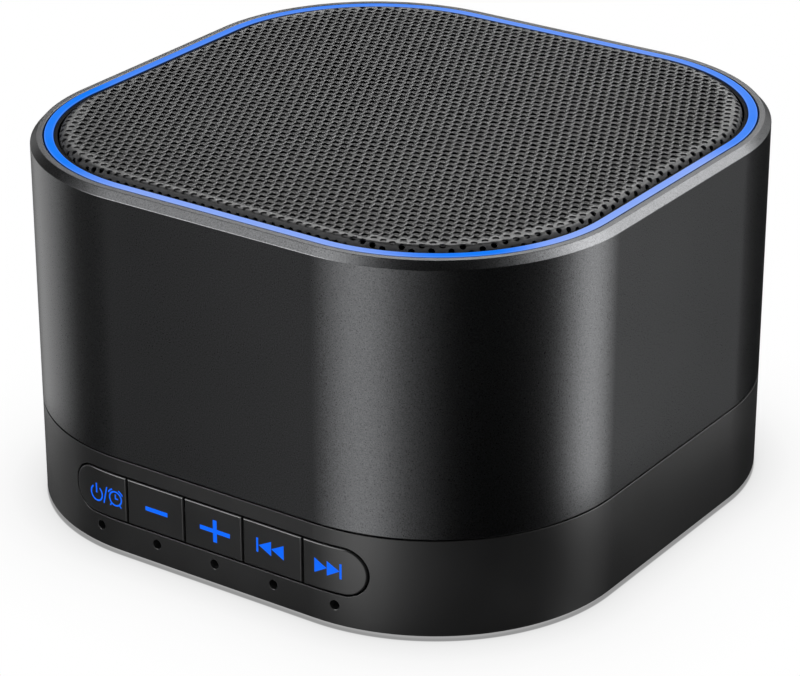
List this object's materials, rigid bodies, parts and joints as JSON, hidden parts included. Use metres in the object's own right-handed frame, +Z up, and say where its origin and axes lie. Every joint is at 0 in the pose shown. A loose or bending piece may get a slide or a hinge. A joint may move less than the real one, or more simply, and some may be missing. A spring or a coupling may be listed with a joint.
{
  "type": "white noise sound machine",
  "caption": "Rounded-square table-top white noise sound machine: dark metal sleeve on a black plastic base, perforated top grille in a blue light ring, push-button strip on the front.",
  "frame": {"origin": "middle of the footprint, on the surface that the rubber feet stand on", "axes": "+Z up; -Y is the front, with the buttons; +Y is the rear, with the sockets; +X is to the right when facing the front"},
  "size_m": [0.1, 0.1004, 0.0606],
  "materials": {
    "sleeve_metal": "dark satin anodised, fine speckle",
    "base_plastic": "fine spark-eroded texture",
    "button_plastic": "fine satin moulding",
    "grille_steel": "dark satin paint on perforated steel",
    "light_diffuser": "milky diffuser, glowing blue",
    "inner_black": "plain moulded black",
    "foot_rubber": "matt black rubber",
    "screw_steel": "zinc plated",
    "socket_steel": "nickel plated",
    "magnet_ferrite": "dull dark ferrite",
    "pole_steel": "zinc plated, dull",
    "copper": "enamelled copper wire",
    "paper_cone": "pressed paper fibre",
    "roll_rubber": "soft butyl rubber",
    "spider_cloth": "resin-dipped cloth",
    "grille_cloth": "fine woven acoustic cloth",
    "foam": "closed-cell foam",
    "board_green": "solder mask",
    "chip_black": "moulded epoxy",
    "ferrite_grey": "ferrite block",
    "capacitor_can": "bare can",
    "connector_white": "natural nylon",
    "led_white": "white package",
    "clear_pipe": "clear acrylic",
    "battery_wrap": "foil pouch with tape",
    "lead_red": "soft insulation",
    "lead_black": "soft insulation",
    "ribbon_white": "flat flexible cable"
  },
  "bodies": {
    "housing": {"amplifier_chip": "chip_black", "base_housing": "base_plastic", "battery_cell": "battery_wrap", "battery_foam": "foam", "battery_leads": "lead_red", "board_screws": "screw_steel", "case_screws": "screw_steel", "charging_socket_shell": "socket_steel", "charging_socket_tongue": "chip_black", "filter_capacitors": "capacitor_can", "front_plate": "pole_steel", "grille": "grille_steel", "grille_cloth": "grille_cloth", "grille_frame": "inner_black", "grille_frame_screws": "screw_steel", "headphone_jack": "inner_black", "indicator_leds": "led_white", "indicator_light_pipe": "clear_pipe", "key_board": "board_green", "key_ribbon": "ribbon_white", "lead_connectors": "connector_white", "led_chips": "led_white", "led_strip": "led_white", "light_leads": "lead_black", "light_ring": "light_diffuser", "magnet_yoke": "pole_steel", "main_board": "board_green", "power_inductor": "ferrite_grey", "processor_chip": "chip_black", "ring_magnet": "magnet_ferrite", "rubber_feet": "foot_rubber", "sleeve": "sleeve_metal", "speaker_basket": "pole_steel", "speaker_gasket": "foam", "speaker_leads": "lead_black", "speaker_screws": "screw_steel", "speaker_surround": "roll_rubber", "speaker_terminals": "connector_white", "spider": "spider_cloth", "switch_bodies": "chip_black", "top_frame": "inner_black"},
    "cone_assembly": {"speaker_cone": "paper_cone", "dust_cap": "paper_cone", "voice_coil": "copper"},
    "key_power": {"button_power": "button_plastic", "plunger_power": "connector_white"},
    "key_minus": {"button_minus": "button_plastic", "plunger_minus": "connector_white"},
    "key_plus": {"button_plus": "button_plastic", "plunger_plus": "connector_white"},
    "key_previous": {"button_previous": "button_plastic", "plunger_previous": "connector_white"},
    "key_next": {"button_next": "button_plastic", "plunger_next": "connector_white"}
  },
  "joints": [
    {"name": "cone_travel", "type": "slide", "parent": "housing", "child": "cone_assembly", "axis": [0, 0, 1], "range_m": [-0.0012, 0.0012], "stiffness_N_per_m": 1800, "deforming": ["speaker_surround", "spider"]},
    {"name": "power_press", "type": "slide", "parent": "housing", "child": "key_power", "axis": [0, 1, 0], "range_m": [0, 0.0005], "stiffness_N_per_m": 3000},
    {"name": "minus_press", "type": "slide", "parent": "housing", "child": "key_minus", "axis": [0, 1, 0], "range_m": [0, 0.0005], "stiffness_N_per_m": 3000},
    {"name": "plus_press", "type": "slide", "parent": "housing", "child": "key_plus", "axis": [0, 1, 0], "range_m": [0, 0.0005], "stiffness_N_per_m": 3000},
    {"name": "previous_press", "type": "slide", "parent": "housing", "child": "key_previous", "axis": [0, 1, 0], "range_m": [0, 0.0005], "stiffness_N_per_m": 3000},
    {"name": "next_press", "type": "slide", "parent": "housing", "child": "key_next", "axis": [0, 1, 0], "range_m": [0, 0.0005], "stiffness_N_per_m": 3000}
  ]
}
